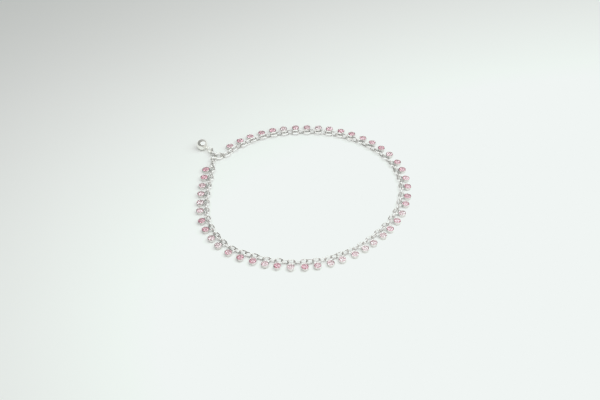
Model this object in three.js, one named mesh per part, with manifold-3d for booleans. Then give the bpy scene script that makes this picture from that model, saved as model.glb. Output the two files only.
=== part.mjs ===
// Payal anklet: a cable chain of flat and upright oval links, closed with an S-shaped hook.
// Every flat link carries a pink stone in a round bezel cup, and a polished ball hangs from the hook.
// Millimetres, +Z up. The anklet lies on the plane z = 0, with its origin below the middle of its box.
import * as THREE from 'three';
import { mergeVertices } from 'three/addons/utils/BufferGeometryUtils.js';
import Module from 'manifold-3d';

const wasm = await Module();
wasm.setup();
const { Manifold, Mesh: SolidMesh } = wasm;

// Chain
const STONE_COUNT = 49;
const PITCH = 5.02; // from one stone to the next, along the chain: one flat and one upright link
const LINK_WIDTH = 2.6;
const LINK_WIRE = 0.55;
const RING_SIDES = 10;
const WIRE_SIDES = 5;
const SOLDER_OVERLAP = 0.045; // how deep neighbouring links of one strand sink into each other
const RUNNING_GAP = 0.16; // left between pieces that hang in each other without solder

// Bezel cups and stones
const CUP_DIAMETER = 3.2;
const CUP_BASE_DIAMETER = 2.8;
const CUP_HEIGHT = 1.55;
const CUP_SIDES = 10;
const SOLDER_DEPTH = 0.1; // how deep a cup's flat side is let into the side of its link
const STONE_DIAMETER = 2.55;
const STONE_FACETS = 8;
const TABLE_DIAMETER = 1.4;
const CROWN_HEIGHT = 0.35; // the table's height over the cup's rim
const STONE_SEAT = 0.3; // how deep the stone reaches into its cup

// Clasp
const CLASP_SPAN = 6.9; // along the loop, between the middles of the two end links
const HOOK_WIRE = 0.75;
const EYE_RADIUS = 1.65; // to the middle of the hook's wire
const BEND_RADIUS = 1.1; // to the middle of the hook's wire
const BEND_SWEEP = 250; // degrees that the open bend turns through
const HOOK_TILT = -8; // degrees about the hook's own length
const BEND_STEPS = 8;
const SHANK_STEPS = 1;
const JOINING_RING_WIRE = 0.45;
const JOINING_RING_PLAY = 0.38; // room in the joining ring beyond the two wires that it holds

// Ball
const BALL_DIAMETER = 4.9;
const BALL_SIDES = 12;
const BALL_BANDS = 6;
const BALL_RING_DIAMETER = 3.0;
const BALL_RING_WIRE = 0.6;
const NECK_DIAMETER = 0.9;
const NECK_LENGTH = 0.3; // from the ball's surface to its ring

// Directions in which the clasp's pieces lie, in degrees from +X seen from above
const RIGHT_END_HEADING = 222;
const JOINING_HEADING = 200;
const EYE_HEADING = 170;
const LEFT_END_HEADING = 85;
const TAIL_HEADINGS = [155, 97];
const BALL_HEADING = 150;

// Turn of a piece about the line that it hangs in, in degrees: 0 lies flat and 90 stands upright
const UPRIGHT = 90;
const FIRST_LINK_TURN = 120;
const LEFT_END_TURN = -60;
const TAIL_TURNS = [60, 120];

// Middle line of the chain, seen from above, from the left end link round the front to the right end
// link. The points are chosen by hand, and the curve through them is brought to the loop's length.
const ROUTE = [
  [-37.8, 22.4], [-38.5, 15.5], [-39.5, 2.0], [-38.0, -13.5], [-29.0, -27.5], [-13.5, -34.5],
  [2.5, -36.0], [17.5, -31.5], [30.0, -22.0], [39.5, -9.5], [43.5, 5.5], [40.5, 21.0],
  [30.0, 33.5], [15.5, 41.0], [-0.5, 42.5], [-15.5, 39.5], [-27.5, 32.5], [-32.0, 28.0],
];
const ROUTE_STEPS = 3000;

const FLATNESS = 0.0005;

// Sizes that follow from the ones above
const LINK_STEP = PITCH / 2;
const LINK_REACH = (LINK_STEP - SOLDER_OVERLAP) / 2; // from a link's middle to the inside of its end
const LINK_LENGTH = 2 * (LINK_REACH + LINK_WIRE);
const CHAIN_HEIGHT = LINK_WIDTH / 2;
const CUP_SIDE = (CUP_DIAMETER / 2) * Math.cos(Math.PI / CUP_SIDES); // from its middle to a flat side
const STONE_OFFSET = LINK_WIDTH / 2 + CUP_SIDE - SOLDER_DEPTH;
const LAST_LINK = 2 * (STONE_COUNT + 1); // the left end link is number 0
const LOOP_LENGTH = LAST_LINK * LINK_STEP + CLASP_SPAN;
const SLACK = SOLDER_OVERLAP + RUNNING_GAP;
const JOINING_RING_HOLE = LINK_WIRE + HOOK_WIRE + JOINING_RING_PLAY;
const BALL_RADIUS = BALL_DIAMETER / 2;
const BALL_OFFSET = BALL_RADIUS + NECK_LENGTH + BALL_RING_DIAMETER / 2; // from the ring's middle

const SILVER = { color: 0xc9ccd0, metalness: 1.0, roughness: 0.22 };

const radians = THREE.MathUtils.degToRad;

// Solid of a closed geometry, with its shared corners merged
function solidOf(geometry) {
  const bare = geometry.clone();
  bare.deleteAttribute('normal');
  bare.deleteAttribute('uv');
  const merged = mergeVertices(bare, 1e-4);
  const mesh = new SolidMesh({
    numProp: 3,
    vertProperties: new Float32Array(merged.attributes.position.array),
    triVerts: new Uint32Array(merged.index.array),
  });
  mesh.merge();
  return new Manifold(mesh);
}

// The same solid with no more corners than its flat faces need
function plain(solid) {
  return solid.asOriginal().simplify(FLATNESS);
}

// Named mesh of a solid, in the given finish
function meshOf(name, solid, finish) {
  const { vertProperties, triVerts } = solid.getMesh();
  const geometry = new THREE.BufferGeometry();
  geometry.setAttribute('position', new THREE.BufferAttribute(new Float32Array(vertProperties), 3));
  geometry.setIndex(new THREE.BufferAttribute(new Uint32Array(triVerts), 1));
  geometry.computeVertexNormals();
  const mesh = new THREE.Mesh(geometry, new THREE.MeshStandardMaterial(finish));
  mesh.name = name;
  return mesh;
}

// Oval wire ring in the XY plane, its length along X. The inside of the wire is a ridge, and a short
// straight stretch of it lies across each end, where the next link bears on it.
function ovalRing(length, width, wire) {
  const radius = (width - wire) / 2;
  const geometry = new THREE.TorusGeometry(radius, -wire / 2, WIRE_SIDES, RING_SIDES);
  geometry.rotateZ(Math.PI / RING_SIDES);
  const straightInside = (radius - wire / 2) * Math.cos(Math.PI / RING_SIDES);
  const stretch = length / 2 - wire - straightInside;
  const place = geometry.attributes.position;
  const sideWidth = radius * 0.1;
  for (let i = 0; i < place.count; i += 1) {
    const x = place.getX(i);
    if (Math.abs(x) > sideWidth) place.setX(i, x + Math.sign(x) * stretch);
  }
  return solidOf(geometry);
}

// Solid turned about Z from a profile of [radius, height] points
function turned(profile, sides) {
  const points = profile.map(([radius, height]) => new THREE.Vector2(radius, height));
  return solidOf(new THREE.LatheGeometry(points, sides).rotateX(Math.PI / 2));
}

// Oval link of the chain
function chainLink() {
  return ovalRing(LINK_LENGTH, LINK_WIDTH, LINK_WIRE);
}

// Bezel cup with its stone: the base at z = 0 and the middle of the cup on the Z axis
function stoneInCup() {
  const cup = turned([
    [0, 0], [CUP_BASE_DIAMETER / 2, 0], [CUP_DIAMETER / 2, CUP_HEIGHT], [0, CUP_HEIGHT],
  ], CUP_SIDES);
  const table = CUP_HEIGHT + CROWN_HEIGHT;
  const seat = CUP_HEIGHT - STONE_SEAT;
  const stone = turned([
    [0, seat], [STONE_DIAMETER / 2, seat], [STONE_DIAMETER / 2, CUP_HEIGHT - STONE_SEAT / 2],
    [TABLE_DIAMETER / 2, table], [0, table],
  ], STONE_FACETS);
  return plain(cup.rotate([0, 0, 180 / CUP_SIDES]).add(stone));
}

// The loop: the curve through the route's points, at the length that the links and the clasp take up
function makeLoop() {
  const spot = ([x, y]) => new THREE.Vector3(x, y, 0);
  const rough = new THREE.CatmullRomCurve3(ROUTE.map(spot), true, 'centripetal');
  rough.arcLengthDivisions = ROUTE_STEPS;
  const scale = LOOP_LENGTH / rough.getLength();
  const points = ROUTE.map((point) => spot(point).multiplyScalar(scale));
  const loop = new THREE.CatmullRomCurve3(points, true, 'centripetal');
  loop.arcLengthDivisions = ROUTE_STEPS;
  return loop;
}

const loop = makeLoop();
const up = new THREE.Vector3(0, 0, 1);

// Frame at a point: X along a direction, Y to its left and Z up, then turned about X
function frameAt(point, along, turn = 0) {
  const x = along.clone().normalize();
  const y = new THREE.Vector3().crossVectors(up, x).normalize();
  const z = new THREE.Vector3().crossVectors(x, y);
  const frame = new THREE.Matrix4().makeBasis(x, y, z);
  frame.multiply(new THREE.Matrix4().makeRotationX(radians(turn)));
  return frame.setPosition(point);
}

// Link on the loop: its middle, its direction, and its reach to the inside of its end
function linkOnLoop(number, slack = 0) {
  const share = (number * LINK_STEP - slack) / LOOP_LENGTH;
  const middle = loop.getPointAt(share);
  middle.z = CHAIN_HEIGHT;
  return { middle, along: loop.getTangentAt(share), reach: LINK_REACH };
}

// Piece that hangs in the end of the one before it, pulled along until their wires all but touch
function hangOn(before, along, reach) {
  const middle = before.middle.clone()
    .addScaledVector(before.along, before.reach)
    .addScaledVector(along, reach - RUNNING_GAP);
  return { middle, along, reach };
}

// Direction level with the table, from its heading in degrees
function heading(degrees) {
  return new THREE.Vector3(Math.cos(radians(degrees)), Math.sin(radians(degrees)), 0);
}

// Solid in its own frame, brought to where a piece lies
function placed(solid, piece, turn = 0) {
  return solid.transform(frameAt(piece.middle, piece.along, turn).elements);
}

// One link of a strand, with its cup and stone where it lies flat. The loop runs anticlockwise, so the
// stones, on its outside, are on the -Y side of their links.
function strandLink(number, slack) {
  const link = linkOnLoop(number, slack);
  const oval = chainLink();
  if (number % 2 === 1) return placed(oval, link, number === 1 ? FIRST_LINK_TURN : UPRIGHT);
  const setStone = stoneInCup().translate([0, -STONE_OFFSET, -CHAIN_HEIGHT]);
  return placed(plain(oval.add(setStone)), link);
}

// Strand of links, each soldered to the next
function strand(first, last, slack) {
  const links = [];
  for (let number = first; number <= last; number += 1) links.push(strandLink(number, slack));
  return Manifold.union(links);
}

// Wire through the given points, with a round section of a few sides
function bentWire(points, wire, steps) {
  const corners = [];
  for (let i = 0; i < WIRE_SIDES; i += 1) {
    const angle = (2 * Math.PI * i) / WIRE_SIDES;
    corners.push(new THREE.Vector2(Math.cos(angle), Math.sin(angle)).multiplyScalar(wire / 2));
  }
  const extrudePath = new THREE.CatmullRomCurve3(points, false, 'centripetal');
  return solidOf(new THREE.ExtrudeGeometry(new THREE.Shape(corners), { steps, extrudePath }));
}

// S-shaped hook in the XY plane: its closed eye at the origin, its open bend further along X. The
// shank touches both rounds: it leaves the eye and runs into the bend, whose tip stays open.
function hook(bendDistance) {
  const eyeSize = 2 * EYE_RADIUS + HOOK_WIRE;
  const eye = ovalRing(eyeSize, eyeSize, HOOK_WIRE);
  const touch = Math.acos((EYE_RADIUS + BEND_RADIUS) / bendDistance);
  const points = [new THREE.Vector3(EYE_RADIUS * Math.cos(touch), EYE_RADIUS * Math.sin(touch), 0)];
  for (let i = 0; i <= BEND_STEPS; i += 1) {
    const angle = Math.PI + touch + radians((BEND_SWEEP * i) / BEND_STEPS);
    points.push(new THREE.Vector3(
      bendDistance + BEND_RADIUS * Math.cos(angle), BEND_RADIUS * Math.sin(angle), 0,
    ));
  }
  return plain(eye.add(bentWire(points, HOOK_WIRE, BEND_STEPS + SHANK_STEPS)));
}

// Ball with its neck and soldered ring: the ring round the origin, the ball further along X
function ballWithRing() {
  const ball = solidOf(new THREE.SphereGeometry(BALL_RADIUS, BALL_SIDES, BALL_BANDS)
    .rotateX(Math.PI / 2));
  const ring = ovalRing(BALL_RING_DIAMETER, BALL_RING_DIAMETER, BALL_RING_WIRE);
  const neckStart = BALL_RING_DIAMETER / 2 - BALL_RING_WIRE / 2;
  const neckEnd = BALL_OFFSET - BALL_RADIUS / 2;
  const neck = new THREE.CylinderGeometry(
    NECK_DIAMETER / 2, NECK_DIAMETER / 2, neckEnd - neckStart, WIRE_SIDES,
  ).rotateZ(Math.PI / 2).translate((neckStart + neckEnd) / 2, 0, 0);
  return plain(Manifold.union([ring, ball.translate([BALL_OFFSET, 0, 0]), solidOf(neck)]));
}

// Right end link, joining ring and hook's eye, each hanging in the one before
function rightEnd() {
  const lastLink = linkOnLoop(LAST_LINK - 1, SLACK);
  const endLink = hangOn(lastLink, heading(RIGHT_END_HEADING), LINK_REACH);
  const joiningRing = hangOn(endLink, heading(JOINING_HEADING), JOINING_RING_HOLE / 2);
  const eye = hangOn(joiningRing, heading(EYE_HEADING), EYE_RADIUS - HOOK_WIRE / 2);
  return { endLink, joiningRing, eye };
}

// Left end link, seen from its strand towards the hook, and the bend of the hook that hangs in it
function leftEnd() {
  const firstLink = linkOnLoop(1);
  firstLink.along.negate();
  const endLink = hangOn(firstLink, heading(LEFT_END_HEADING), LINK_REACH);
  const bend = hangOn(endLink, heading(LEFT_END_HEADING), BEND_RADIUS - HOOK_WIRE / 2);
  return { endLink, bend };
}

// The two tail links and the ball's ring, from the hook's eye on. The ball lies on the table, so its
// ring slopes up to it from the tail.
function tail(eye) {
  const along = heading(TAIL_HEADINGS[0]);
  const first = hangOn({ ...eye, along }, along, LINK_REACH);
  const second = hangOn(first, heading(TAIL_HEADINGS[1]), LINK_REACH);
  const ringReach = BALL_RING_DIAMETER / 2 - BALL_RING_WIRE;
  const slope = Math.asin((BALL_RADIUS - CHAIN_HEIGHT) / (BALL_OFFSET + ringReach - RUNNING_GAP));
  const towardsBall = heading(BALL_HEADING).multiplyScalar(Math.cos(slope)).setZ(Math.sin(slope));
  return { links: [first, second], ballRing: hangOn(second, towardsBall, ringReach) };
}

// Solids of the clasp by name
function clasp() {
  const right = rightEnd();
  const left = leftEnd();
  const { links, ballRing } = tail(right.eye);
  const joiningSize = JOINING_RING_HOLE + 2 * JOINING_RING_WIRE;
  const hookAlong = left.bend.middle.clone().sub(right.eye.middle);
  const bentHook = hook(hookAlong.length());
  return {
    left_end_link: placed(chainLink(), left.endLink, LEFT_END_TURN),
    right_end_link: placed(chainLink(), right.endLink),
    joining_ring: placed(
      ovalRing(joiningSize, joiningSize, JOINING_RING_WIRE), right.joiningRing, UPRIGHT,
    ),
    hook: placed(bentHook, { middle: right.eye.middle, along: hookAlong }, HOOK_TILT),
    tail_link_1: placed(chainLink(), links[0], TAIL_TURNS[0]),
    tail_link_2: placed(chainLink(), links[1], TAIL_TURNS[1]),
    ball: placed(ballWithRing(), ballRing),
  };
}

// All the pieces, moved so that the origin lies on the table below the middle of their box
function anklet() {
  const middleLink = LAST_LINK / 2;
  const solids = {
    front_strand: strand(1, middleLink, 0),
    back_strand: strand(middleLink + 1, LAST_LINK - 1, SLACK),
    ...clasp(),
  };
  const group = new THREE.Group();
  for (const [name, solid] of Object.entries(solids)) group.add(meshOf(name, solid, SILVER));
  const box = new THREE.Box3().setFromObject(group);
  const middle = box.getCenter(new THREE.Vector3());
  group.position.set(-middle.x, -middle.y, -box.min.z);
  return group;
}

export default anklet();
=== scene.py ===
"""Silver payal anklet: a cable chain with pink stones in bezel cups, an S hook and a polished ball."""
import math
import random
from contextlib import contextmanager

import bmesh
import bpy
from mathutils import Matrix, Vector


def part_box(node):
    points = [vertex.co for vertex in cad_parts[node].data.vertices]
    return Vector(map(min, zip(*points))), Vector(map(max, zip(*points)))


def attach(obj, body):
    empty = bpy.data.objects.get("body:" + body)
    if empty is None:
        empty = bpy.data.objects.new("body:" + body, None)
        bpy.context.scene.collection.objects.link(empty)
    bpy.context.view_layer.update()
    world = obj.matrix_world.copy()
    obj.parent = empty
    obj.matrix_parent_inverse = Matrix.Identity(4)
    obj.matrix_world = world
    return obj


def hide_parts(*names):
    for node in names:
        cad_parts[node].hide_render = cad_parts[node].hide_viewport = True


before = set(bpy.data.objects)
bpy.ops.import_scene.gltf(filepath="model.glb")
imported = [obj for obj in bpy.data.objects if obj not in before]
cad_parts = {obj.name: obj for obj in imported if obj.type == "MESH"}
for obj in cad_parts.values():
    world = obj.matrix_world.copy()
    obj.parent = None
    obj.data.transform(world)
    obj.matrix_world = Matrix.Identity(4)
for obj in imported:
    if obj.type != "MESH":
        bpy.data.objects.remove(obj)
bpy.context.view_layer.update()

MM = 0.001

# Chain, as in the solids
STONE_COUNT = 49
PITCH = 5.02 * MM
LINK_WIDTH = 2.6 * MM
LINK_WIRE = 0.55 * MM
SOLDER_OVERLAP = 0.045 * MM
RUNNING_GAP = 0.16 * MM
RING_SEGMENTS = 24
WIRE_SEGMENTS = 10
SOLDER_SWELL = 1.1

# Bezel cups and stones
CUP_DIAMETER = 3.2 * MM
CUP_BASE_DIAMETER = 2.8 * MM
CUP_HEIGHT = 1.55 * MM
CUP_WALL = 0.19 * MM
CUP_SEGMENTS = 32
RIM_DEPTH = 0.22 * MM
RIM_ROUNDING = 0.09 * MM
RIM_PROFILE = 0.6
BASE_ROUNDING = 0.08 * MM
HOLLOW_DEPTH = 0.9 * MM
HOLLOW_TAPER = 0.62
STONE_OFFSET = 2.722 * MM
STONE_DIAMETER = 2.86 * MM
STONE_SEGMENTS = 32
GIRDLE_HEIGHT = 1.47 * MM
HALF_GIRDLE = 0.03 * MM

# Drop of solder between cup and link: its size, its shape and where it sits
SOLDER_RADIUS = 0.4 * MM
SOLDER_SHAPE = (1.15, 0.55, 0.6, 1)
SOLDER_SINK = 0.02 * MM
SOLDER_DROP = 0.12 * MM

# Cut of the stones: slopes in degrees, and rises and reach as shares of the stone's radius
MAIN_FACETS = 8
CROWN_SLOPE = 34.5
CROWN_GIRDLE_SLOPE = 38.8
STAR_SLOPE = 22.1
PAVILION_SLOPE = 41.0
PAVILION_GIRDLE_SLOPE = 42.5
TABLE_RISE = 0.302
STAR_RISE = 0.2035
STAR_REACH = 0.76
CUT_TOLERANCE = 1e-7

# Clasp
CLASP_SPAN = 6.9 * MM
HOOK_WIRE = 0.75 * MM
EYE_RADIUS = 1.65 * MM
BEND_RADIUS = 1.1 * MM
BEND_SWEEP = 250
BEND_STEPS = 26
EYE_SWEEP = 300
EYE_STEPS = 30
HOOK_SEGMENTS = 14
HOOK_TIP_ROUNDING = 0.3 * HOOK_WIRE
HOOK_TIP_REACH = 0.52 * HOOK_WIRE
HOOK_TILT = -8
JOINING_RING_WIRE = 0.45 * MM
JOINING_RING_PLAY = 0.38 * MM

# Ball with its neck and ring: the seam's width and the neck's start are shares of the ball's
# radius, and the seam's swell and the collar's width and flatness are factors
BALL_DIAMETER = 4.9 * MM
BALL_RING_DIAMETER = 3.0 * MM
BALL_RING_WIRE = 0.6 * MM
BALL_SEGMENTS = 64
BALL_BANDS = 40
BALL_RING_SEGMENTS = 32
BALL_WIRE_SEGMENTS = 12
NECK_LENGTH = 0.3 * MM
SEAM_WIDTH = 0.02
SEAM_SWELL = 1.006
NECK_START = 0.985
COLLAR_WIDTH = 0.75
COLLAR_FLATNESS = 0.2
COLLAR_LENGTH = 0.5 * NECK_LENGTH
NECK_END = 0.8 * NECK_LENGTH

# Directions and turns of the loose pieces, in degrees
RIGHT_END_HEADING = 222
JOINING_HEADING = 200
EYE_HEADING = 170
LEFT_END_HEADING = 85
TAIL_HEADINGS = (155, 97)
BALL_HEADING = 150
UPRIGHT = 90
FIRST_LINK_TURN = 120
LEFT_END_TURN = -60
TAIL_TURNS = (60, 120)

# Play of the loose links, in degrees: roll of the upright ones, swing and lean of the flat ones
ROLL_PLAY = (-14, 14)
SWING_PLAY = (-7, 7)
LEAN_PLAY = (-2, 5)

# Middle line of the chain in millimetres, from the left end link round the front to the right one
ROUTE = [
    (-37.8, 22.4), (-38.5, 15.5), (-39.5, 2.0), (-38.0, -13.5), (-29.0, -27.5), (-13.5, -34.5),
    (2.5, -36.0), (17.5, -31.5), (30.0, -22.0), (39.5, -9.5), (43.5, 5.5), (40.5, 21.0),
    (30.0, 33.5), (15.5, 41.0), (-0.5, 42.5), (-15.5, 39.5), (-27.5, 32.5), (-32.0, 28.0),
]
ROUTE_STEPS = 3000

# Camera: it looks at the route's zero point, which is the middle of the picture
CAMERA_ELEVATION = 45.2
CAMERA_DISTANCE = 417.0 * MM
CAMERA_LENS = 58.8
CAMERA_SENSOR = 36.0
TABLE_WIDTH = 3.0

# Edges sharper than these angles, in degrees, stay sharp
LINK_CREASE = 35
HOOK_CREASE = 50
BALL_CREASE = 40

# Colours of the silver, the stones and the table, and the depth at which the middle pink stands
POLISHED = (0.9, 0.89, 0.87, 1)
TARNISHED = (0.25, 0.235, 0.21, 1)
# Stone colours from palest to deepest; the deep end also gives the painted shade at each stone's rim
CLEAREST_PINK = (0.99, 0.9, 0.92, 1)
MIDDLE_PINK = (0.94, 0.56, 0.66, 1)
DEEPEST_PINK = (0.68, 0.3, 0.39, 1)
MIDDLE_DEPTH = 0.45
DARKER_TABLE = (0.80, 0.83, 0.815, 1)
LIGHTER_TABLE = (0.83, 0.855, 0.845, 1)

# Wear of the silver
TARNISH_EDGES = (0.42, 0.72)
TARNISH_DETAIL = 4.0
TARNISH_DULLING = 0.25
SCRATCH_SCALE = 7000.0
SCRATCH_DETAIL = 3.0
SCRATCH_HEIGHT = 0.02 * MM

# Depth of colour: least share of the palest stone, and share left in the middle of each stone under the
# painted shade that deepens each stone towards its rim
PALEST_STONE = 0.15
RIM_SHADE_MIDDLE_SHARE = 0.2

# Light
SOFTBOX_POWER = 0.7
SOFTBOX_SIZE = (0.43, 0.23)
SOFTBOX_PLACE = (0.1, -0.028, 0.185)
SOFTBOX_TURN = 22
SOFTBOX_COLOUR = (1.0, 1.0, 0.98)
DARK_WALL = (0.32, 0.325, 0.32, 1)
LIGHT_WALL = (0.6, 0.61, 0.6, 1)
ROOM_FILL = (0.45, 0.457, 0.448, 1)

# Film: straight up to the shoulder, then rounded off to the white that it holds
FILM_SHOULDER = 0.68
FILM_WHITE = (0.871, 0.913, 0.896)

# Sizes that follow from the ones above
LINK_STEP = PITCH / 2
LINK_REACH = (LINK_STEP - SOLDER_OVERLAP) / 2
LINK_LENGTH = 2 * (LINK_REACH + LINK_WIRE)
CHAIN_HEIGHT = LINK_WIDTH / 2
LAST_LINK = 2 * (STONE_COUNT + 1)
MIDDLE_LINK = LAST_LINK // 2
LOOP_LENGTH = LAST_LINK * LINK_STEP + CLASP_SPAN
SLACK = SOLDER_OVERLAP + RUNNING_GAP
JOINING_RING_HOLE = LINK_WIRE + HOOK_WIRE + JOINING_RING_PLAY
BALL_RADIUS = BALL_DIAMETER / 2
BALL_RING_REACH = BALL_RING_DIAMETER / 2 - BALL_RING_WIRE
BALL_OFFSET = BALL_RADIUS + NECK_LENGTH + BALL_RING_DIAMETER / 2

chance = random.Random(5)


# Modelling helpers

def alone(piece):
    """Makes a piece the only one selected."""
    bpy.ops.object.select_all(action="DESELECT")
    piece.select_set(True)
    bpy.context.view_layer.objects.active = piece


def start(primitive, name, **sizes):
    """Adds a primitive with nothing else selected, and puts its place into its mesh."""
    bpy.ops.object.select_all(action="DESELECT")
    primitive(**sizes)
    piece = bpy.context.object
    piece.name = piece.data.name = name
    bpy.ops.object.transform_apply(location=True, rotation=True, scale=True)
    return piece


@contextmanager
def shaping(piece):
    """Edit mode on one piece."""
    alone(piece)
    bpy.ops.object.mode_set(mode="EDIT")
    yield
    bpy.ops.object.mode_set(mode="OBJECT")


def pick(kind, test):
    """Selects the corners, edges or faces of the piece in hand whose place passes a test."""
    piece = bpy.context.edit_object
    bpy.ops.mesh.select_mode(type=kind)
    bpy.ops.mesh.select_all(action="DESELECT")
    mesh = bmesh.from_edit_mesh(piece.data)
    if kind == "VERT":
        chosen = [corner for corner in mesh.verts if test(corner.co)]
    elif kind == "EDGE":
        chosen = [edge for edge in mesh.edges if all(test(corner.co) for corner in edge.verts)]
    else:
        chosen = [face for face in mesh.faces if test(face.calc_center_median())]
    for part in chosen:
        part.select_set(True)
    bmesh.update_edit_mesh(piece.data)


def pick_facing(direction, share=0.99):
    """Selects the faces of the piece in hand that look in a direction."""
    piece = bpy.context.edit_object
    bpy.ops.mesh.select_mode(type="FACE")
    bpy.ops.mesh.select_all(action="DESELECT")
    mesh = bmesh.from_edit_mesh(piece.data)
    for face in mesh.faces:
        if face.normal.dot(Vector(direction)) > share:
            face.select_set(True)
    bmesh.update_edit_mesh(piece.data)


def smooth(piece, angle=LINK_CREASE):
    """Shades a piece smooth, with edges sharper than an angle kept."""
    alone(piece)
    bpy.ops.object.shade_smooth_by_angle(angle=math.radians(angle))


def copy_at(piece, place):
    """Copy of a piece, with its own mesh, moved to a place."""
    twin = piece.copy()
    twin.data = piece.data.copy()
    twin.data.transform(place)
    bpy.context.scene.collection.objects.link(twin)
    return twin


def joined(name, parts):
    """One object made of many."""
    bpy.ops.object.select_all(action="DESELECT")
    for part in parts:
        part.select_set(True)
    bpy.context.view_layer.objects.active = parts[0]
    if len(parts) > 1:
        bpy.ops.object.join()
    whole = bpy.context.view_layer.objects.active
    whole.name = whole.data.name = name
    return whole


def discard(*pieces):
    """Deletes the models that have been copied."""
    for piece in pieces:
        bpy.data.objects.remove(piece)


# Places

def route_samples():
    """Points along the closed centripetal curve through the route, and the way to each."""
    points = [Vector((x * MM, y * MM)) for x, y in ROUTE]
    count = len(points)
    samples = []
    for step in range(ROUTE_STEPS + 1):
        place = count * step / ROUTE_STEPS
        first = int(place) % count
        share = place - int(place)
        p0, p1, p2, p3 = (points[(first + shift) % count] for shift in (-1, 0, 1, 2))
        d0, d1, d2 = ((b - a).length ** 0.5 for a, b in ((p0, p1), (p1, p2), (p2, p3)))
        t1 = ((p1 - p0) / d0 - (p2 - p0) / (d0 + d1) + (p2 - p1) / d1) * d1
        t2 = ((p2 - p1) / d1 - (p3 - p1) / (d1 + d2) + (p3 - p2) / d2) * d1
        samples.append(
            p1 + t1 * share + (3 * (p2 - p1) - 2 * t1 - t2) * share ** 2
            + (2 * (p1 - p2) + t1 + t2) * share ** 3
        )
    ways = [0.0]
    for a, b in zip(samples, samples[1:]):
        ways.append(ways[-1] + (b - a).length)
    scale = LOOP_LENGTH / ways[-1]
    return [sample * scale for sample in samples], [way * scale for way in ways]


loop_points, loop_ways = route_samples()


def on_loop(number, slack=0.0):
    """Middle and direction of a link, from its number counted from the left end link."""
    way = number * LINK_STEP - slack
    index = max(i for i, passed in enumerate(loop_ways[:-1]) if passed <= way)
    a, b = loop_points[index], loop_points[index + 1]
    middle = a.lerp(b, (way - loop_ways[index]) / (loop_ways[index + 1] - loop_ways[index]))
    return middle.to_3d() + Vector((0, 0, CHAIN_HEIGHT)), (b - a).normalized().to_3d()


def heading(degrees):
    """Direction level with the table."""
    return Vector((math.cos(math.radians(degrees)), math.sin(math.radians(degrees)), 0))


def hang_on(middle, along, reach, next_along, next_reach):
    """Middle of a piece that hangs in the end of another, pulled along until the wires almost touch."""
    return middle + along * reach + next_along * (next_reach - RUNNING_GAP)


def place_at(middle, along, turn=0.0):
    """Placement with X along a direction, Y to its left and Z up, turned about X."""
    x = along.normalized()
    y = Vector((0, 0, 1)).cross(x).normalized()
    z = x.cross(y)
    axes = Matrix((x, y, z)).transposed().to_4x4()
    return Matrix.Translation(middle) @ axes @ Matrix.Rotation(math.radians(turn), 4, "X")


def clasp_places():
    """Middles and directions of the clasp's pieces, each hanging in the one before it."""
    spots = {}
    middle, along = on_loop(LAST_LINK - 1, SLACK)
    right = heading(RIGHT_END_HEADING)
    spots["right_end"] = hang_on(middle, along, LINK_REACH, right, LINK_REACH), right
    joining = heading(JOINING_HEADING)
    spots["joining"] = (
        hang_on(*spots["right_end"], LINK_REACH, joining, JOINING_RING_HOLE / 2), joining,
    )
    eye_way = heading(EYE_HEADING)
    eye_reach = EYE_RADIUS - HOOK_WIRE / 2
    eye = hang_on(*spots["joining"], JOINING_RING_HOLE / 2, eye_way, eye_reach)
    middle, along = on_loop(1)
    left = heading(LEFT_END_HEADING)
    spots["left_end"] = hang_on(middle, -along, LINK_REACH, left, LINK_REACH), left
    bend = hang_on(*spots["left_end"], LINK_REACH, left, BEND_RADIUS - HOOK_WIRE / 2)
    spots["hook"] = eye, bend - eye
    first, second = (heading(degrees) for degrees in TAIL_HEADINGS)
    spots["tail_1"] = hang_on(eye, first, eye_reach, first, LINK_REACH), first
    spots["tail_2"] = hang_on(*spots["tail_1"], LINK_REACH, second, LINK_REACH), second
    rise = (BALL_RADIUS - CHAIN_HEIGHT) / (BALL_OFFSET + BALL_RING_REACH - RUNNING_GAP)
    to_ball = heading(BALL_HEADING) * math.sqrt(1 - rise ** 2) + Vector((0, 0, rise))
    spots["ball"] = hang_on(*spots["tail_2"], LINK_REACH, to_ball, BALL_RING_REACH), to_ball
    return spots


spots = clasp_places()
low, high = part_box("right_end_link")
home = (Vector(low) + Vector(high)) / 2 - spots["right_end"][0]
home.z = 0.0
to_frame = Matrix.Translation(home)


# Materials

def node(tree, kind, place, **settings):
    """Adds a node at a place in its tree, with its settings."""
    made = tree.nodes.new(kind)
    made.location = place
    for key, value in settings.items():
        setattr(made, key, value)
    return made


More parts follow.
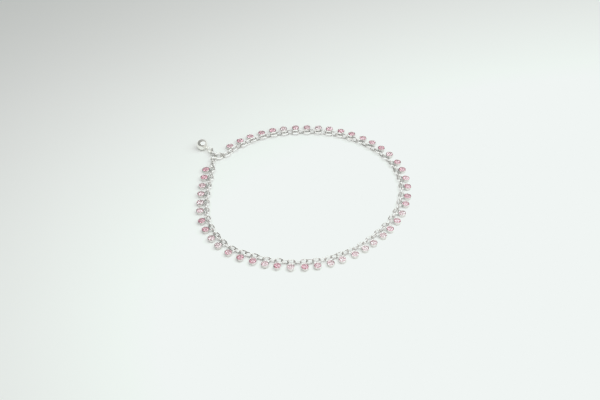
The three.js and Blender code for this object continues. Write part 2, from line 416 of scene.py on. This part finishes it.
def wear_group():
    """Node group: cloudy tarnish and fine scratches for polished metal."""
    group = bpy.data.node_groups.new("metal_wear", "ShaderNodeTree")
    sockets = group.interface
    for name, kind, value in (
        ("Metal", "NodeSocketColor", POLISHED),
        ("Tarnish", "NodeSocketColor", TARNISHED),
        ("Tarnish Amount", "NodeSocketFloat", 0.3),
        ("Roughness", "NodeSocketFloat", 0.15),
        ("Scratch Depth", "NodeSocketFloat", 0.2),
        ("Grain", "NodeSocketFloat", 900.0),
    ):
        sockets.new_socket(name, in_out="INPUT", socket_type=kind).default_value = value
    for name, kind in (("Color", "NodeSocketColor"), ("Roughness", "NodeSocketFloat"),
                       ("Normal", "NodeSocketVector")):
        sockets.new_socket(name, in_out="OUTPUT", socket_type=kind)
    link = group.links.new
    entry = node(group, "NodeGroupInput", (-900, 0))
    out = node(group, "NodeGroupOutput", (700, 0))
    spot = node(group, "ShaderNodeTexCoord", (-900, -300))
    cloud = node(group, "ShaderNodeTexNoise", (-650, 150))
    cloud.inputs["Detail"].default_value = TARNISH_DETAIL
    link(spot.outputs["Object"], cloud.inputs["Vector"])
    link(entry.outputs["Grain"], cloud.inputs["Scale"])
    patch = node(group, "ShaderNodeMapRange", (-430, 150))
    patch.inputs["From Min"].default_value = TARNISH_EDGES[0]
    patch.inputs["From Max"].default_value = TARNISH_EDGES[1]
    link(cloud.outputs["Fac"], patch.inputs["Value"])
    amount = node(group, "ShaderNodeMath", (-230, 150), operation="MULTIPLY")
    link(patch.outputs["Result"], amount.inputs[0])
    link(entry.outputs["Tarnish Amount"], amount.inputs[1])
    tint = node(group, "ShaderNodeMix", (0, 200), data_type="RGBA")
    link(amount.outputs[0], tint.inputs["Factor"])
    link(entry.outputs["Metal"], tint.inputs[6])
    link(entry.outputs["Tarnish"], tint.inputs[7])
    link(tint.outputs[2], out.inputs["Color"])
    dull = node(group, "ShaderNodeMath", (0, 0), operation="MULTIPLY_ADD")
    dull.inputs[1].default_value = TARNISH_DULLING
    link(amount.outputs[0], dull.inputs[0])
    link(entry.outputs["Roughness"], dull.inputs[2])
    link(dull.outputs[0], out.inputs["Roughness"])
    fine = node(group, "ShaderNodeTexNoise", (-650, -250))
    fine.inputs["Scale"].default_value = SCRATCH_SCALE
    fine.inputs["Detail"].default_value = SCRATCH_DETAIL
    link(spot.outputs["Object"], fine.inputs["Vector"])
    bump = node(group, "ShaderNodeBump", (300, -250))
    bump.inputs["Distance"].default_value = SCRATCH_HEIGHT
    link(entry.outputs["Scratch Depth"], bump.inputs["Strength"])
    link(fine.outputs["Fac"], bump.inputs["Height"])
    link(bump.outputs["Normal"], out.inputs["Normal"])
    return group


metal_wear = wear_group()


def silver(name, metal, tarnish, roughness, scratches):
    """Polished silver of one finish."""
    made = bpy.data.materials.new(name)
    made.use_nodes = True
    tree = made.node_tree
    shader = tree.nodes["Principled BSDF"]
    shader.inputs["Metallic"].default_value = 1.0
    wear = node(tree, "ShaderNodeGroup", (-300, 100), node_tree=metal_wear)
    wear.inputs["Metal"].default_value = (*metal, 1)
    wear.inputs["Tarnish Amount"].default_value = tarnish
    wear.inputs["Roughness"].default_value = roughness
    wear.inputs["Scratch Depth"].default_value = scratches
    tree.links.new(wear.outputs["Color"], shader.inputs["Base Color"])
    tree.links.new(wear.outputs["Roughness"], shader.inputs["Roughness"])
    tree.links.new(wear.outputs["Normal"], shader.inputs["Normal"])
    return made


def stone_glass():
    """Cut pink stone under a clear polish; each facet's colour is the stone's own depth of colour with a
    painted shade that deepens it towards the rim.
    """
    made = bpy.data.materials.new("pink_stone")
    made.use_nodes = True
    tree = made.node_tree
    shader = tree.nodes["Principled BSDF"]
    shader.inputs["Roughness"].default_value = 0.24
    shader.inputs["Coat Weight"].default_value = 0.5
    shader.inputs["Coat Roughness"].default_value = 0.03
    shader.inputs["IOR"].default_value = 1.75
    shader.inputs["Transmission Weight"].default_value = 0.75
    # The ramp reads each facet's own depth of colour together with the painted shade towards the stone's
    # rim
    depth = node(tree, "ShaderNodeAttribute", (-600, 100), attribute_name="depth")
    ramp = node(tree, "ShaderNodeValToRGB", (-350, 100))
    colours = ramp.color_ramp.elements
    colours[0].color = CLEAREST_PINK
    colours[1].color = DEEPEST_PINK
    colours.new(MIDDLE_DEPTH).color = MIDDLE_PINK
    tree.links.new(depth.outputs["Fac"], ramp.inputs["Fac"])
    tree.links.new(ramp.outputs["Color"], shader.inputs["Base Color"])
    return made


def table_top():
    """Pale matt table."""
    made = bpy.data.materials.new("pale_table")
    made.use_nodes = True
    tree = made.node_tree
    shader = tree.nodes["Principled BSDF"]
    shader.inputs["Roughness"].default_value = 0.6
    spot = node(tree, "ShaderNodeTexCoord", (-800, 0))
    cloud = node(tree, "ShaderNodeTexNoise", (-600, 0))
    cloud.inputs["Scale"].default_value = 12.0
    tree.links.new(spot.outputs["Object"], cloud.inputs["Vector"])
    ramp = node(tree, "ShaderNodeValToRGB", (-350, 0))
    ramp.color_ramp.elements[0].color = DARKER_TABLE
    ramp.color_ramp.elements[1].color = LIGHTER_TABLE
    tree.links.new(cloud.outputs["Fac"], ramp.inputs["Fac"])
    tree.links.new(ramp.outputs["Color"], shader.inputs["Base Color"])
    return made


chain_silver = silver("chain_silver", metal=(0.74, 0.735, 0.72), tarnish=0.25, roughness=0.18,
                      scratches=0.12)
# The cups' silver is darker than the clasp's and the ball's: painted shade on the cup walls
cup_silver_painted_shade = silver("cup_silver_painted_shade", metal=(0.7, 0.69, 0.67), tarnish=0.25, roughness=0.1,
                    scratches=0.15)
clasp_silver = silver("clasp_silver", metal=(0.84, 0.835, 0.8), tarnish=0.25, roughness=0.12,
                      scratches=0.12)
ball_silver = silver("ball_silver", metal=(0.93, 0.925, 0.88), tarnish=0.08, roughness=0.05,
                     scratches=0.08)
pink_stone = stone_glass()


def dress(piece, material):
    """Gives a piece its one material."""
    piece.data.materials.clear()
    piece.data.materials.append(material)
    return piece


# Models of the pieces

def model_oval(name, length, width, wire):
    """Wire ring, stretched along X, with a slight drop of solder where its wire was closed."""
    radius = (width - wire) / 2
    ring = start(bpy.ops.mesh.primitive_torus_add, name, major_segments=RING_SEGMENTS,
                 minor_segments=WIRE_SEGMENTS, major_radius=radius, minor_radius=wire / 2)
    stretch = (length - width) / 2
    beside_middle = wire / 10
    with shaping(ring):
        for side in (-1, 1):
            if stretch > 0:
                pick("VERT", lambda spot: spot.x * side > beside_middle)
                bpy.ops.transform.translate(value=(side * stretch, 0, 0))
        pick("VERT", lambda spot: abs(spot.x) < beside_middle and spot.y > 0)
        bpy.ops.transform.resize(value=(1, SOLDER_SWELL, SOLDER_SWELL),
                                 center_override=(0, radius, 0))
    smooth(ring)
    return ring


def model_cup():
    """Bezel cup: a flared wall with a rounded rim, a hollow for the stone and a drop of solder."""
    cup = start(bpy.ops.mesh.primitive_cylinder_add, "cup", vertices=CUP_SEGMENTS,
                radius=CUP_BASE_DIAMETER / 2, depth=CUP_HEIGHT, location=(0, 0, CUP_HEIGHT / 2))
    flare = CUP_DIAMETER / CUP_BASE_DIAMETER
    near = 0.01 * MM
    with shaping(cup):
        pick_facing((0, 0, 1))
        bpy.ops.transform.resize(value=(flare, flare, 1), center_override=(0, 0, CUP_HEIGHT))
        bpy.ops.mesh.inset(thickness=CUP_WALL)
        bpy.ops.mesh.extrude_region_move(
            TRANSFORM_OT_translate={"value": (0, 0, -RIM_DEPTH)})
        bpy.ops.mesh.extrude_region_move(
            TRANSFORM_OT_translate={"value": (0, 0, -HOLLOW_DEPTH)})
        bpy.ops.transform.resize(value=(HOLLOW_TAPER, HOLLOW_TAPER, 1), center_override=(0, 0, 0))
        pick("EDGE", lambda spot: spot.z > CUP_HEIGHT - near)
        bpy.ops.mesh.bevel(offset=RIM_ROUNDING, segments=3, profile=RIM_PROFILE)
        pick("EDGE", lambda spot: spot.z < near)
        bpy.ops.mesh.bevel(offset=BASE_ROUNDING, segments=2)
    solder = start(bpy.ops.mesh.primitive_uv_sphere_add, "solder", segments=12, ring_count=8,
                   radius=SOLDER_RADIUS)
    joint = (0, STONE_OFFSET - LINK_WIDTH / 2 - SOLDER_SINK, CHAIN_HEIGHT - SOLDER_DROP)
    solder.data.transform(Matrix.Translation(joint) @ Matrix.Diagonal(SOLDER_SHAPE))
    return joined("cup", [cup, solder])


def facet(height, radius, angle, azimuth, downwards=False):
    """Cuts one facet: a plane at a slope, touching a radius at a height in one direction."""
    slope = math.radians(angle)
    turn = math.radians(azimuth)
    aim = Vector((math.cos(turn), math.sin(turn), 0))
    tip = -1 if downwards else 1
    bpy.ops.mesh.select_all(action="SELECT")
    bpy.ops.mesh.bisect(
        plane_co=aim * radius + Vector((0, 0, height)),
        plane_no=aim * math.sin(slope) + Vector((0, 0, tip * math.cos(slope))),
        use_fill=True, clear_outer=True, threshold=CUT_TOLERANCE,
    )


def model_stone():
    """Round brilliant: table, star, main and girdle facets above, main and girdle facets below."""
    radius = STONE_DIAMETER / 2
    stone = start(bpy.ops.mesh.primitive_cylinder_add, "stone", vertices=STONE_SEGMENTS,
                  radius=radius, depth=2 * radius, location=(0, 0, GIRDLE_HEIGHT))
    above = GIRDLE_HEIGHT + HALF_GIRDLE
    below = GIRDLE_HEIGHT - HALF_GIRDLE
    turn = 360 / MAIN_FACETS
    with shaping(stone):
        for step in range(MAIN_FACETS):
            facet(above, radius, CROWN_SLOPE, turn * step)
            facet(below, radius, PAVILION_SLOPE, turn * step, downwards=True)
        for step in range(2 * MAIN_FACETS):
            side = turn / 2 * step + turn / 4
            facet(above, radius, CROWN_GIRDLE_SLOPE, side)
            facet(below, radius, PAVILION_GIRDLE_SLOPE, side, downwards=True)
        for step in range(MAIN_FACETS):
            facet(above + STAR_RISE * radius, STAR_REACH * radius, STAR_SLOPE, turn * step + turn / 2)
        facet(above + TABLE_RISE * radius, 0, 0, 0)
    alone(stone)
    bpy.ops.object.shade_flat()
    return stone


def model_hook(bend_distance):
    """S hook of one round wire: rounded tip, open bend, shank and closed eye, in the XY plane."""
    touch = math.acos((EYE_RADIUS + BEND_RADIUS) / bend_distance)
    tip_angle = math.pi + touch + math.radians(BEND_SWEEP)
    bend = Vector((bend_distance, 0, 0))
    tangent = Vector((math.cos(touch), math.sin(touch), 0))
    tip = bend + BEND_RADIUS * Vector((math.cos(tip_angle), math.sin(tip_angle), 0))
    hook = start(bpy.ops.mesh.primitive_circle_add, "hook", vertices=HOOK_SEGMENTS,
                 radius=HOOK_WIRE / 2, fill_type="NGON", rotation=(math.pi / 2, 0, 0))
    hook.data.transform(Matrix.Translation(tip) @ Matrix.Rotation(tip_angle, 4, "Z"))
    with shaping(hook):
        bpy.ops.mesh.select_all(action="SELECT")
        bpy.ops.mesh.spin(steps=BEND_STEPS, angle=math.radians(BEND_SWEEP), center=bend,
                          axis=(0, 0, 1))
        bpy.ops.mesh.extrude_region_move(TRANSFORM_OT_translate={
            "value": tangent * EYE_RADIUS - (bend - tangent * BEND_RADIUS)})
        bpy.ops.mesh.spin(steps=EYE_STEPS, angle=-math.radians(EYE_SWEEP), center=(0, 0, 0),
                          axis=(0, 0, 1))
        pick("EDGE", lambda spot: (spot - tip).length < HOOK_TIP_REACH)
        bpy.ops.mesh.bevel(offset=HOOK_TIP_ROUNDING, segments=4)
        bpy.ops.mesh.select_all(action="SELECT")
        bpy.ops.mesh.normals_make_consistent(inside=False)
    smooth(hook, HOOK_CREASE)
    return hook


def model_ball():
    """Polished ball with the faint ridge of its closed seam, a collared neck and a ring."""
    ball = start(bpy.ops.mesh.primitive_uv_sphere_add, "ball", segments=BALL_SEGMENTS,
                 ring_count=BALL_BANDS, radius=BALL_RADIUS, rotation=(0, math.pi / 2, 0))
    with shaping(ball):
        pick("VERT", lambda spot: abs(spot.x) < BALL_RADIUS * SEAM_WIDTH)
        bpy.ops.transform.resize(value=(1, SEAM_SWELL, SEAM_SWELL), center_override=(0, 0, 0))
        pick("FACE", lambda spot: spot.x < -BALL_RADIUS * NECK_START)
        bpy.ops.mesh.extrude_region_move(
            TRANSFORM_OT_translate={"value": (-COLLAR_LENGTH, 0, 0)})
        bpy.ops.transform.resize(value=(COLLAR_FLATNESS, COLLAR_WIDTH, COLLAR_WIDTH),
                                 center_override=(-BALL_RADIUS - COLLAR_LENGTH, 0, 0))
        bpy.ops.mesh.extrude_region_move(
            TRANSFORM_OT_translate={"value": (-NECK_END, 0, 0)})
    smooth(ball, BALL_CREASE)
    ball.data.transform(Matrix.Translation((BALL_OFFSET, 0, 0)))
    ring = start(bpy.ops.mesh.primitive_torus_add, "ball_ring",
                 major_segments=BALL_RING_SEGMENTS, minor_segments=BALL_WIRE_SEGMENTS,
                 major_radius=(BALL_RING_DIAMETER - BALL_RING_WIRE) / 2,
                 minor_radius=BALL_RING_WIRE / 2)
    smooth(ring)
    return joined("ball", [ball, ring])


# Placing of the pieces

def leaning(place, degrees):
    """Placement leant about the chain's line, raised or lowered so the cup still stands on the table."""
    tilt = math.radians(degrees)
    near = STONE_OFFSET - CUP_BASE_DIAMETER / 2
    far = STONE_OFFSET + CUP_BASE_DIAMETER / 2
    feet = [
        CHAIN_HEIGHT - (CHAIN_HEIGHT * math.cos(tilt) + reach * math.sin(tilt))
        for reach in (near, far)
    ]
    lift = -min(feet)
    return Matrix.Translation((0, 0, lift)) @ place @ Matrix.Rotation(tilt, 4, "X")


def set_tone_and_painted_rim_shade(stone, place, own_depth):
    """Colour of each facet: the stone's own depth of colour, with a painted shade that deepens it
    towards the rim and leaves the middle pale.
    """
    axis = place.translation.xy
    shaded_rim_depth = PALEST_STONE + (1 - PALEST_STONE) * own_depth
    values = []
    # Painted shade: the colour deepens with the square of the distance from the stone's axis, leaving
    # the middle pale
    for face in stone.data.polygons:
        out_to_shaded_rim = 2 * (face.center.xy - axis).length / STONE_DIAMETER
        values.append(shaded_rim_depth * (RIM_SHADE_MIDDLE_SHARE + (1 - RIM_SHADE_MIDDLE_SHARE) * out_to_shaded_rim ** 2))
    stone.data.attributes.new("depth", "FLOAT", "FACE").data.foreach_set("value", values)


def set_strand(prefix, node_name, first, last, slack, models):
    """Links, cups and stones of one strand, joined into three pieces."""
    links, cups, stones = [], [], []
    for number in range(first, last + 1):
        middle, along = on_loop(number, slack)
        if number % 2:
            turn = FIRST_LINK_TURN if number == 1 else UPRIGHT + chance.uniform(*ROLL_PLAY)
            links.append(copy_at(models["link"], to_frame @ place_at(middle, along, turn)))
            continue
        swing = Matrix.Rotation(math.radians(chance.uniform(*SWING_PLAY)), 4, "Z")
        place = to_frame @ leaning(place_at(middle, along) @ swing, chance.uniform(*LEAN_PLAY))
        links.append(copy_at(models["link"], place))
        seat = place @ Matrix.Translation((0, -STONE_OFFSET, -CHAIN_HEIGHT))
        spun = seat @ Matrix.Rotation(chance.uniform(0, math.tau), 4, "Z")
        cups.append(copy_at(models["cup"], seat))
        stone = copy_at(models["stone"], spun)
        set_tone_and_painted_rim_shade(stone, spun, chance.random())
        stones.append(stone)
    return (
        finished(joined(prefix + "_links", links), chain_silver, node_name),
        finished(joined(prefix + "_cups", cups), cup_silver_painted_shade, node_name),
        finished(joined(prefix + "_stones", stones), pink_stone, node_name),
    )


def finished(piece, material, node_name):
    """Puts the material on a piece and ties it to the frame."""
    dress(piece, material)
    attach(piece, "root")
    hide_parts(node_name)
    return piece


def set_clasp(models):
    """End links, joining ring, hook, tail and ball."""
    for spot, turn, node_name in (
        ("right_end", 0, "right_end_link"), ("left_end", LEFT_END_TURN, "left_end_link"),
        ("tail_1", TAIL_TURNS[0], "tail_link_1"), ("tail_2", TAIL_TURNS[1], "tail_link_2"),
    ):
        piece = copy_at(models["link"], to_frame @ place_at(*spots[spot], turn))
        piece.name = piece.data.name = "silver_" + node_name
        finished(piece, chain_silver, node_name)
    ring = copy_at(models["joining"], to_frame @ place_at(*spots["joining"], UPRIGHT))
    ring.name = ring.data.name = "silver_joining_ring"
    finished(ring, clasp_silver, "joining_ring")
    eye, to_bend = spots["hook"]
    hook = model_hook(to_bend.length)
    hook.data.transform(to_frame @ place_at(eye, to_bend, HOOK_TILT))
    hook.name = hook.data.name = "silver_hook"
    finished(hook, clasp_silver, "hook")
    ball = copy_at(models["ball"], to_frame @ place_at(*spots["ball"]))
    ball.name = ball.data.name = "silver_ball"
    finished(ball, ball_silver, "ball")


# Setting: table, light and camera

def lay_table():
    """Table far wider than the picture."""
    table = start(bpy.ops.mesh.primitive_plane_add, "table", size=TABLE_WIDTH)
    dress(table, table_top())


def hang_softbox():
    """Wide soft light close above the anklet, shining straight down."""
    data = bpy.data.lights.new("softbox", "AREA")
    data.shape = "RECTANGLE"
    data.energy = SOFTBOX_POWER
    data.size, data.size_y = SOFTBOX_SIZE
    data.color = SOFTBOX_COLOUR
    lamp = bpy.data.objects.new("softbox", data)
    lamp.location = SOFTBOX_PLACE
    lamp.rotation_euler = (0, 0, math.radians(SOFTBOX_TURN))
    bpy.context.scene.collection.objects.link(lamp)


def set_room():
    """Plain room that the metal reflects, darker on the left, with an even fill on what is matt."""
    world = bpy.data.worlds.new("room")
    bpy.context.scene.world = world
    world.use_nodes = True
    tree = world.node_tree
    back = tree.nodes["Background"]
    way = node(tree, "ShaderNodeTexCoord", (-800, 0))
    axes = node(tree, "ShaderNodeSeparateXYZ", (-600, 0))
    tree.links.new(way.outputs["Generated"], axes.inputs[0])
    side = node(tree, "ShaderNodeMapRange", (-400, 0))
    side.inputs["From Min"].default_value = -1.0
    tree.links.new(axes.outputs["X"], side.inputs["Value"])
    walls = node(tree, "ShaderNodeValToRGB", (-200, 0))
    walls.color_ramp.elements[0].color = DARK_WALL
    walls.color_ramp.elements[1].color = LIGHT_WALL
    tree.links.new(side.outputs["Result"], walls.inputs["Fac"])
    tree.links.new(walls.outputs["Color"], back.inputs["Color"])
    fill = node(tree, "ShaderNodeBackground", (0, -200))
    fill.inputs["Color"].default_value = ROOM_FILL
    rays = node(tree, "ShaderNodeLightPath", (0, 300))
    both = node(tree, "ShaderNodeMixShader", (250, 0))
    tree.links.new(rays.outputs["Is Diffuse Ray"], both.inputs["Fac"])
    tree.links.new(back.outputs["Background"], both.inputs[1])
    tree.links.new(fill.outputs["Background"], both.inputs[2])
    tree.links.new(both.outputs["Shader"], tree.nodes["World Output"].inputs["Surface"])


def set_camera():
    """Camera in front of the anklet, looking down on it."""
    data = bpy.data.cameras.new("camera")
    data.lens = CAMERA_LENS
    data.sensor_width = CAMERA_SENSOR
    data.clip_start = 0.01
    camera = bpy.data.objects.new("camera", data)
    tilt = math.radians(CAMERA_ELEVATION)
    camera.location = home + CAMERA_DISTANCE * Vector((0, -math.cos(tilt), math.sin(tilt)))
    camera.rotation_euler = (math.pi / 2 - tilt, 0, 0)
    bpy.context.scene.collection.objects.link(camera)
    bpy.context.scene.camera = camera


def set_film():
    """Tone curve whose whites are rounded off, so that the light table keeps its soft tint."""
    view = bpy.context.scene.view_settings
    view.view_transform = "Standard"
    view.use_curve_mapping = True
    view.curve_mapping.extend = "HORIZONTAL"
    for curve, white in zip(view.curve_mapping.curves, FILM_WHITE):
        curve.points[-1].location = (1.0, white)
        curve.points.new(FILM_SHOULDER / 2, FILM_SHOULDER / 2)
        curve.points.new(FILM_SHOULDER, FILM_SHOULDER)
    view.curve_mapping.update()


models = {
    "link": model_oval("link", LINK_LENGTH, LINK_WIDTH, LINK_WIRE),
    "joining": model_oval("joining", JOINING_RING_HOLE + 2 * JOINING_RING_WIRE,
                          JOINING_RING_HOLE + 2 * JOINING_RING_WIRE, JOINING_RING_WIRE),
    "cup": model_cup(),
    "stone": model_stone(),
    "ball": model_ball(),
}
set_strand("front", "front_strand", 1, MIDDLE_LINK, 0.0, models)
set_strand("back", "back_strand", MIDDLE_LINK + 1, LAST_LINK - 1, SLACK, models)
set_clasp(models)
discard(*models.values())
lay_table()
hang_softbox()
set_room()
set_camera()
set_film()
